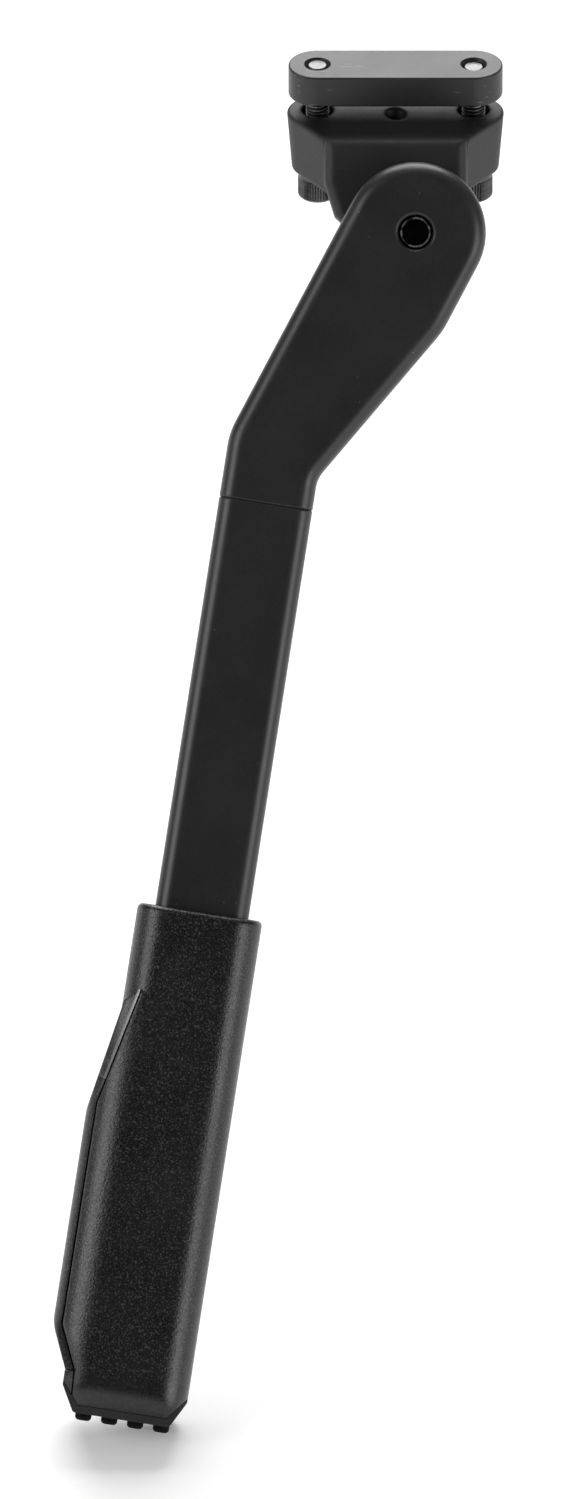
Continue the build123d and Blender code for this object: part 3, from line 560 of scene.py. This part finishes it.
def plastic_material(name, finish, edge, edge_highlight, gloss):
    """Black moulded plastic with a spark-eroded grain and painted glints, smoother and softer at the foot's
    lower end, with a painted highlight along the lever's lip and edges.
    """
    material, tree, shader, coords = start_material(name)
    grain = grain_outputs(
        tree, coords, finish.plastic_dark, finish.plastic_light, PLASTIC_GRAIN, PLASTIC_DRIFT,
        smooth=0.22, rough=0.4,
    )
    glint_span, least_grain, soften_times = (0.56, 0.74), 0.25, 5
    down, base = dot(tree, coords, LEG_DIR), reach("foot_shell", LEG_DIR)
    grained = remap(tree, down, [base - height for height in GRAIN_FADES], 1.0, least_grain)
    # Painted glints: lighter specks blended into the plastic's colour, standing in for the grain's sparkle
    painted_glints = remap(tree, noise(tree, coords, PLASTIC_PAINTED_GLINTS, detail=0.0), glint_span)
    grain_with_painted_glints = blend_colors(
        tree, sums(tree, "MULTIPLY", painted_glints, grained), grain["Color"], finish.plastic_glint
    )
    radius = remap(tree, down, [base - height for height in EDGES_SOFTEN], edge, soften_times * edge)
    normal = soft_edges(tree, radius)
    edges = painted_edge_highlight(tree, down, normal, edge_highlight)
    # Painted highlight: the lever's edges and lip are blended towards a light tone
    wear_and_painted_highlight = sums(tree, "MAXIMUM", edges, painted_lip_highlight(tree, coords, finish))
    height = sums(tree, "MULTIPLY", grain["Height"], grained)
    feed(tree, shader.inputs, {
        "Base Color": blend_colors(tree, wear_and_painted_highlight, grain_with_painted_glints, finish.plastic_painted_highlight),
        "Roughness": grain["Roughness"],
        "Specular IOR Level": gloss,
        "Normal": bump(tree, height, strength=1.0, depth=0.0001, normal=normal),
    })
    return material


def start_matt(name, tone):
    """Matt rubber or soft plastic with a faint bloom; its parts."""
    material, tree, shader, coords = start_material(name)
    bloom = 1.7
    grain = grain_outputs(
        tree, coords, tone, [bloom * value for value in tone], RUBBER_GRAIN, RUBBER_DRIFT,
        smooth=0.6, rough=0.78,
    )
    feed(tree, shader.inputs, {
        "Base Color": grain["Color"],
        "Roughness": grain["Roughness"],
        "Specular IOR Level": 0.12,
        "Normal": bump(tree, grain["Height"], strength=0.2, depth=0.00008),
    })
    return material, tree, shader, coords, grain["Color"]


def matt_material(name, tone):
    """Matt rubber or soft plastic of one tone."""
    return start_matt(name, tone)[0]


def sole_material(name, tone, nub_tone, nub_length):
    """Matt rubber, darker on the nubs at the leg's end."""
    material, tree, shader, coords, upper = start_matt(name, tone)
    base, blur = reach("foot_sole", LEG_DIR) - nub_length, 0.1 * nub_length
    on_nubs = remap(tree, dot(tree, coords, LEG_DIR), (base - blur, base + blur))
    feed(tree, shader.inputs, {"Base Color": blend_colors(tree, on_nubs, upper, nub_tone)})
    return material


def start_metal(name, tone, marks, dullness, about_screws=False):
    """Turned metal with fine tool marks, round each fixing screw's axis or the origin's; its parts."""
    material, tree, shader, coords = start_material(name)
    if about_screws:
        folded = place(tree, "ShaderNodeVectorMath", {0: coords}, operation="ABSOLUTE").outputs[0]
        coords = place(
            tree, "ShaderNodeVectorMath", {0: folded, 1: (SCREW_X, 0, 0)}, operation="SUBTRACT"
        ).outputs[0]
    dull = [dullness * value for value in tone]
    turned = group_outputs(
        tree, "turned marks", turned_group,
        {"Vector": coords, "Marks per metre": marks, "Bright": (*tone, 1), "Dull": (*dull, 1)},
    )
    feed(tree, shader.inputs, {
        "Base Color": turned["Color"],
        "Roughness": turned["Roughness"],
        "Metallic": 1.0,
        "Normal": bump(tree, turned["Height"], strength=0.25, depth=0.00005),
    })
    return material, tree, shader, coords, turned["Color"]


def metal_material(name, tone, kind=BRIGHT_MARKS):
    """Turned metal of one tone, with tool marks of a kind."""
    return start_metal(name, tone, **kind)[0]


def tip_material(name, tone):
    """Bare turned steel of the fixing screws' tips."""
    return start_metal(name, tone, **TIP_MARKS, about_screws=True)[0]


def screw_material(name, tone, bare, sizes):
    """Blackened steel, rubbed bright on the crests of the thread."""
    material, tree, shader, coords, black = start_metal(name, tone, **BLACK_MARKS, about_screws=True)
    rubbed_depth, most_rubbed = 0.3 * sizes.thread_depth, 0.8
    radius, _ = round_parts(tree, coords)
    crest = sizes.thread_d / 2
    wear_and_painted_highlight = remap(tree, radius, (crest - rubbed_depth, crest), 0.0, most_rubbed)
    on_thread = sums(tree, "LESS_THAN", radius, crest + sizes.thread_depth)
    wear_and_highlight_strength = sums(tree, "MULTIPLY", wear_and_painted_highlight, on_thread)
    feed(tree, shader.inputs, {"Base Color": blend_colors(tree, wear_and_highlight_strength, black, bare)})
    return material


def bolt_material(name, tone, bare, rim):
    """Blackened steel with a rim at the bolt's outer end that is bare in patches."""
    material, tree, shader, coords, black = start_metal(name, tone, **BLACK_MARKS)
    patch_span, least_bare = (0.38, 0.62), 0.08
    end = reach("pivot_bolt", PIVOT_DIR)
    on_rim = remap(tree, dot(tree, coords, PIVOT_DIR), (end - rim, end - rim / 2))
    patches = remap(tree, noise(tree, coords, BOLT_PATCHES), patch_span, least_bare)
    turned_bare = sums(tree, "MULTIPLY", on_rim, patches)
    feed(tree, shader.inputs, {"Base Color": blend_colors(tree, turned_bare, black, bare)})
    return material


def finish_node(material, *names):
    """Gives CAD nodes a material."""
    for name in names:
        node = frame["nodes"][name]
        if not node.material_slots:
            node.data.materials.append(None)
        for slot in node.material_slots:
            slot.material = material


def add_object(name, data):
    """Puts an object with its data into the scene."""
    made = bpy.data.objects.new(name, data)
    bpy.context.scene.collection.objects.link(made)
    return made


def add_mesh(name, mesh, material):
    """Puts a modelled mesh into the scene as an object of one material."""
    data = bpy.data.meshes.new(name)
    mesh.to_mesh(data)
    mesh.free()
    data.materials.append(material)
    return add_object(name, data)


def finish_piece(mesh, name, body, material, replaced):
    """Makes a mesh a piece that rides on a body and stands for a CAD node."""
    bmesh.ops.recalc_face_normals(mesh, faces=mesh.faces)
    piece = add_mesh(name, mesh, material)
    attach(piece, body)
    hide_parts(replaced)


def outline(mesh, points):
    """A chain of edges through points, as the geometry that spin takes."""
    verts = [mesh.verts.new(point) for point in points]
    edges = [mesh.edges.new(pair) for pair in zip(verts, verts[1:])]
    return verts + edges


def ring_edges(mesh, segments, radius, x, z):
    """Edges of a level ring about the axis of the screw at x, each once and in a fixed order."""
    verts = bmesh.ops.create_circle(
        mesh, segments=segments, radius=radius, matrix=Matrix.Translation((x, 0, z))
    )["verts"]
    return list(dict.fromkeys(edge for vert in verts for edge in vert.link_edges))


def scale_about(mesh, verts, scale, x):
    """Scales vertices towards or away from the axis of the screw at x."""
    bmesh.ops.scale(mesh, verts=verts, vec=(scale, scale, 1), space=Matrix.Translation((-x, 0, 0)))


def raise_ring(mesh, edges, height, scale, x):
    """Extrudes a ring of edges upwards and scales it about the screw's axis; its new edges and corners."""
    made = bmesh.ops.extrude_edge_only(mesh, edges=edges)["geom"]
    verts = [item for item in made if isinstance(item, bmesh.types.BMVert)]
    bmesh.ops.translate(mesh, verts=verts, vec=(0, 0, height))
    scale_about(mesh, verts, scale, x)
    return [item for item in made if isinstance(item, bmesh.types.BMEdge)], verts


def add_head(mesh, x, sizes):
    """Knurled cap head with a hexagon socket, open side down."""
    low, rim = SCREW_LOW.z, HEAD_R - sizes.head_edge
    edges = ring_edges(mesh, 2 * sizes.knurl_count, rim, x, low)
    socket = ring_edges(mesh, HEXAGON_SIDES, sizes.socket_width / math.sqrt(3), x, low)
    bmesh.ops.triangle_fill(mesh, edges=edges + socket, use_beauty=True)
    socket_floor, _ = raise_ring(mesh, socket, sizes.socket_depth, 1, x)
    bmesh.ops.contextual_create(mesh, geom=socket_floor)
    edges, crests = raise_ring(mesh, edges, sizes.head_edge, HEAD_R / rim, x)
    ordered = sorted(crests, key=lambda vert: math.atan2(vert.co.y, vert.co.x - x))
    scale_about(mesh, ordered[::2], 1 - sizes.knurl_depth / HEAD_R, x)
    side = HEAD_SEAT_Z - low - sizes.head_edge - sizes.seat_edge
    edges, _ = raise_ring(mesh, edges, side, 1, x)
    edges, _ = raise_ring(mesh, edges, sizes.seat_edge, 1 - sizes.seat_edge / HEAD_R, x)
    bmesh.ops.contextual_create(mesh, geom=edges)


def add_thread(mesh, x, low, high, sizes):
    """Threaded shank between two heights, closed at both ends."""
    own = bmesh.new()
    pitch, crest = sizes.thread_pitch, sizes.thread_d / 2
    root = crest - sizes.thread_depth
    # A turn is half a root, a flank, a crest, a flank and half a root
    flat, flank = pitch / 8, pitch * 5 / 16
    start = low - pitch
    turns = math.ceil((high - start) / pitch) + 1
    heights = (0, flat, flat + flank, 2 * flat + flank, 2 * flat + 2 * flank, pitch)
    radii = (root, root, crest, crest, root, root)
    profile = outline(own, [(x + r, 0, start + z) for r, z in zip(radii, heights)])
    bmesh.ops.spin(
        own, geom=profile, cent=(x, 0, 0), axis=(0, 0, 1), dvec=(0, 0, pitch / sizes.thread_steps),
        angle=2 * math.pi * turns, steps=turns * sizes.thread_steps,
    )
    bmesh.ops.remove_doubles(own, verts=own.verts, dist=MERGE_SHARE * pitch)
    for cut, way in ((low, -1), (high, 1)):
        bmesh.ops.bisect_plane(
            own, geom=own.verts[:] + own.edges[:] + own.faces[:], plane_co=(x, 0, cut),
            plane_no=(0, 0, way), clear_outer=True,
        )
    bmesh.ops.holes_fill(own, edges=[edge for edge in own.edges if edge.is_boundary])
    bmesh.ops.recalc_face_normals(own, faces=own.faces)
    data = bpy.data.meshes.new("thread")
    own.to_mesh(data)
    own.free()
    mesh.from_mesh(data)
    bpy.data.meshes.remove(data)


def add_tip(mesh, x, top, sizes):
    """Bare turned tip with a bevel and a low dome, which falls with the square of its radius."""
    radius = sizes.thread_d / 2 - sizes.thread_depth
    neck = radius - sizes.tip_edge
    shoulder = top - sizes.tip_dome
    points = [
        (x, 0, top - sizes.tip_length),
        (x + radius, 0, top - sizes.tip_length),
        (x + radius, 0, shoulder - sizes.tip_edge),
        (x + neck, 0, shoulder),
        (x + neck / 2, 0, top - sizes.tip_dome / 4),
        (x, 0, top),
    ]
    bmesh.ops.spin(
        mesh, geom=outline(mesh, points), cent=(x, 0, 0), axis=(0, 0, 1), angle=2 * math.pi,
        steps=sizes.thread_steps, use_merge=True,
    )
    bmesh.ops.remove_doubles(mesh, verts=mesh.verts, dist=MERGE_SHARE * sizes.tip_edge)


class KICKSTAND_OT_bracket(bpy.types.Operator):
    """Coats the bracket and the clamp plate"""

    bl_idname = "kickstand.bracket"
    bl_label = "Coat Bracket And Plate"

    def execute(self, context):
        finish = context.scene.kickstand_finish
        tones = (finish.cast_dark, finish.cast_light, finish.dust)
        cast = coat_material(
            "bracket_coat", *tones, smooth=0.5, rough=0.62, scuffs=0.15, edge=finish.bracket_edge
        )
        flat = coat_material("plate_coat", *tones, smooth=0.34, rough=0.44, scuffs=0.8)
        finish_node(cast, "bracket")
        finish_node(flat, "clamp_plate")
        return {"FINISHED"}


class KICKSTAND_OT_screws(bpy.types.Operator):
    """Models the knurled and threaded fixing screws, and finishes their spring washers"""

    bl_idname = "kickstand.screws"
    bl_label = "Model Fixing Screws"

    def execute(self, context):
        sizes, finish = context.scene.kickstand_screws, context.scene.kickstand_finish
        black = screw_material("blackened_steel", finish.black_screw, finish.steel, sizes)
        bright = tip_material("bare_steel", finish.tip_steel)
        screws, tips = bmesh.new(), bmesh.new()
        for x, top in ((-SCREW_X, PLATE_TOP_Z), (SCREW_X, PLATE_TOP_Z - sizes.tip_drop)):
            add_head(screws, x, sizes)
            add_thread(screws, x, HEAD_SEAT_Z, top - sizes.tip_length, sizes)
            add_tip(tips, x, top, sizes)
        finish_piece(screws, "fixing_screws", "bracket", black, "mount_screws")
        finish_piece(tips, "screw_tips", "bracket", bright, "mount_screws")
        finish_node(black, "spring_washers")
        return {"FINISHED"}


class KICKSTAND_OT_pivot(bpy.types.Operator):
    """Finishes the pivot's bolt, washer, bush, drum, dowels and stop pin"""

    bl_idname = "kickstand.pivot"
    bl_label = "Finish Pivot"

    def execute(self, context):
        finish = context.scene.kickstand_finish
        bolt = bolt_material("pivot_bolt_steel", finish.bolt_black, finish.steel, finish.bolt_rim)
        finish_node(bolt, "pivot_bolt")
        finish_node(metal_material("pivot_washer_steel", finish.steel), "pivot_washer")
        finish_node(metal_material("bush_bronze", finish.bronze), "pivot_bush")
        hardened = metal_material("hardened_steel", finish.hardened)
        finish_node(hardened, "cam_hub", "hub_dowels", "stop_pin")
        return {"FINISHED"}


class KICKSTAND_OT_detent(bpy.types.Operator):
    """Finishes the detent's plunger, spring and plug"""

    bl_idname = "kickstand.detent"
    bl_label = "Finish Detent"

    def execute(self, context):
        finish = context.scene.kickstand_finish
        finish_node(metal_material("plunger_steel", finish.hardened), "detent_plunger")
        finish_node(metal_material("spring_wire", finish.hardened, WIRE_MARKS), "detent_spring")
        finish_node(metal_material("plug_steel", finish.steel), "detent_plug")
        return {"FINISHED"}


class KICKSTAND_OT_leg(bpy.types.Operator):
    """Coats the arm and the tube, and finishes the tube's screws and end plug"""

    bl_idname = "kickstand.leg"
    bl_label = "Coat Leg"

    def execute(self, context):
        finish = context.scene.kickstand_finish
        coat = coat_material(
            "leg_coat", finish.coat_dark, finish.coat_light, finish.dust,
            smooth=0.32, rough=0.42, scuffs=0.0, edge=finish.leg_edge,
        )
        finish_node(coat, "leg_arm", "leg_tube")
        finish_node(metal_material("set_screw_steel", finish.black_screw, BLACK_MARKS), "tube_set_screws")
        finish_node(matt_material("end_plug_plastic", finish.plastic_dark), "tube_end_plug")
        return {"FINISHED"}


class KICKSTAND_OT_foot(bpy.types.Operator):
    """Finishes the foot's shell, lever, sole, pad, pin and stop screw"""

    bl_idname = "kickstand.foot"
    bl_label = "Finish Foot"

    def execute(self, context):
        finish = context.scene.kickstand_finish
        plastic = plastic_material("foot_plastic", finish, finish.foot_edge, edge_highlight=0.0, gloss=0.5)
        # The lever's material paints a highlight along its edges and lip
        lever = plastic_material("lever_plastic", finish, finish.lever_edge, edge_highlight=0.1, gloss=0.16)
        sole = sole_material("sole_rubber", finish.sole, finish.nubs, finish.nub_length)
        finish_node(plastic, "foot_shell")
        finish_node(lever, "release_lever")
        finish_node(sole, "foot_sole")
        finish_node(matt_material("pad_plastic", finish.pad), "brake_pad")
        finish_node(metal_material("pin_steel", finish.steel), "lever_pin")
        finish_node(metal_material("stop_screw_steel", finish.black_screw, BLACK_MARKS), "foot_stop_screw")
        return {"FINISHED"}


def add_floor(stage):
    """Pale floor under the stand, with a faint drift of tone."""
    material, tree, shader, coords = start_material("floor_paper")
    darkest = 0.985
    shade = [darkest * value for value in stage.floor_color]
    feed(tree, shader.inputs, {
        "Base Color": blend_colors(tree, noise(tree, coords, FLOOR_DRIFT), stage.floor_color, shade),
        "Roughness": 0.9,
        "Specular IOR Level": 0.1,
        "Emission Color": (*stage.floor_color, 1),
        "Emission Strength": stage.floor_glow,
    })
    mesh = bmesh.new()
    low = Matrix.Translation((0, 0, cad_box[0].z))
    bmesh.ops.create_circle(
        mesh, cap_ends=True, segments=FLOOR_SEGMENTS, radius=stage.floor_radius, matrix=low
    )
    floor = add_mesh("floor", mesh, material)


def add_light(name, towards, strength, spread):
    """Broad soft light from a direction."""
    light = bpy.data.lights.new(name, "SUN")
    light.energy = strength
    light.angle = spread
    lamp = add_object(name, light)
    lamp.rotation_mode = "QUATERNION"
    lamp.rotation_quaternion = towards.to_track_quat("Z", "Y")


def add_sky(stage):
    """Sky that lights dimly from behind the camera and more from behind the stand, and looks white."""
    world = bpy.data.worlds.new("studio")
    bpy.context.scene.world = world
    world.use_nodes = True
    tree = world.node_tree
    tree.nodes.clear()
    facing_span = (-0.2, 0.9)
    facing = dot(tree, tree.nodes.new("ShaderNodeTexCoord").outputs["Generated"], PIVOT_DIR)
    strength = remap(tree, facing, facing_span, stage.sky_back, stage.sky_front)
    straight = tree.nodes.new("ShaderNodeLightPath").outputs["Is Camera Ray"]
    shown = sums(tree, "MULTIPLY", straight, stage.sky_seen)
    sky = place(tree, "ShaderNodeBackground", {"Strength": sums(tree, "MAXIMUM", strength, shown)})
    place(tree, "ShaderNodeOutputWorld", {"Surface": sky.outputs[0]})


def add_camera(stage):
    """Camera that looks straight along the pivot, framed on the picture's pixels."""
    width, height = stage.image_px
    right = (width / 2 - stage.origin_px[0]) / stage.px_per_metre
    up = (stage.origin_px[1] - height / 2) / stage.px_per_metre
    aim = RIGHT_DIR * right + UP_DIR * up + PIVOT_DIR * reach("bracket", PIVOT_DIR)
    data = bpy.data.cameras.new("camera")
    data.lens = data.sensor_width * stage.camera_distance * stage.px_per_metre / height
    camera = add_object("camera", data)
    turn = Matrix((RIGHT_DIR, UP_DIR, PIVOT_DIR)).transposed().to_4x4()
    camera.matrix_world = Matrix.Translation(aim + PIVOT_DIR * stage.camera_distance) @ turn
    bpy.context.scene.camera = camera


class KICKSTAND_OT_stage(bpy.types.Operator):
    """Sets up the pale floor, the sky, the soft lights and the camera"""

    bl_idname = "kickstand.stage"
    bl_label = "Set Stage"

    def execute(self, context):
        stage = context.scene.kickstand_stage
        add_floor(stage)
        add_sky(stage)
        add_camera(stage)
        behind = Vector((0, math.cos(stage.back_height), math.sin(stage.back_height)))
        add_light("back_light", behind, stage.back_light, stage.back_spread)
        add_light("top_light", Vector((0, 0, 1)), stage.top_light, stage.side_spread)
        for name, side in (("left_light", -1), ("right_light", 1)):
            across = (RIGHT_DIR * math.cos(stage.side_tilt) - UP_DIR * math.sin(stage.side_tilt)) * side
            towards = PIVOT_DIR * math.cos(stage.side_angle) + across * math.sin(stage.side_angle)
            add_light(name, towards, stage.side_light, stage.side_spread)
        context.scene.view_settings.view_transform = "Standard"
        return {"FINISHED"}


class KICKSTAND_PT_panel(bpy.types.Panel):
    """Lists the stand's sizes, finishes and steps"""

    bl_idname = "KICKSTAND_PT_panel"
    bl_label = "Kickstand"
    bl_space_type = "VIEW_3D"
    bl_region_type = "UI"
    bl_category = "Kickstand"

    def draw(self, context):
        for key in GROUPS:
            group, box = getattr(context.scene, key), self.layout.box()
            for name in group.__annotations__:
                box.prop(group, name)
        for step in STEPS:
            self.layout.operator(step.bl_idname)


GROUPS = {
    "kickstand_screws": KickstandScrewSizes,
    "kickstand_finish": KickstandFinish,
    "kickstand_stage": KickstandStage,
}
STEPS = (
    KICKSTAND_OT_bracket,
    KICKSTAND_OT_screws,
    KICKSTAND_OT_pivot,
    KICKSTAND_OT_detent,
    KICKSTAND_OT_leg,
    KICKSTAND_OT_foot,
    KICKSTAND_OT_stage,
)
CLASSES = (*GROUPS.values(), *STEPS, KICKSTAND_PT_panel)


def register():
    for item in CLASSES:
        bpy.utils.register_class(item)
    for key, group in GROUPS.items():
        setattr(bpy.types.Scene, key, PointerProperty(type=group))


def unregister():
    for key in GROUPS:
        delattr(bpy.types.Scene, key)
    for item in reversed(CLASSES):
        bpy.utils.unregister_class(item)


def main():
    """Registers the add-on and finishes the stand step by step."""
    register()
    bpy.ops.kickstand.bracket()
    bpy.ops.kickstand.screws()
    bpy.ops.kickstand.pivot()
    bpy.ops.kickstand.detent()
    bpy.ops.kickstand.leg()
    bpy.ops.kickstand.foot()
    bpy.ops.kickstand.stage()


if __name__ == "__main__":
    main()
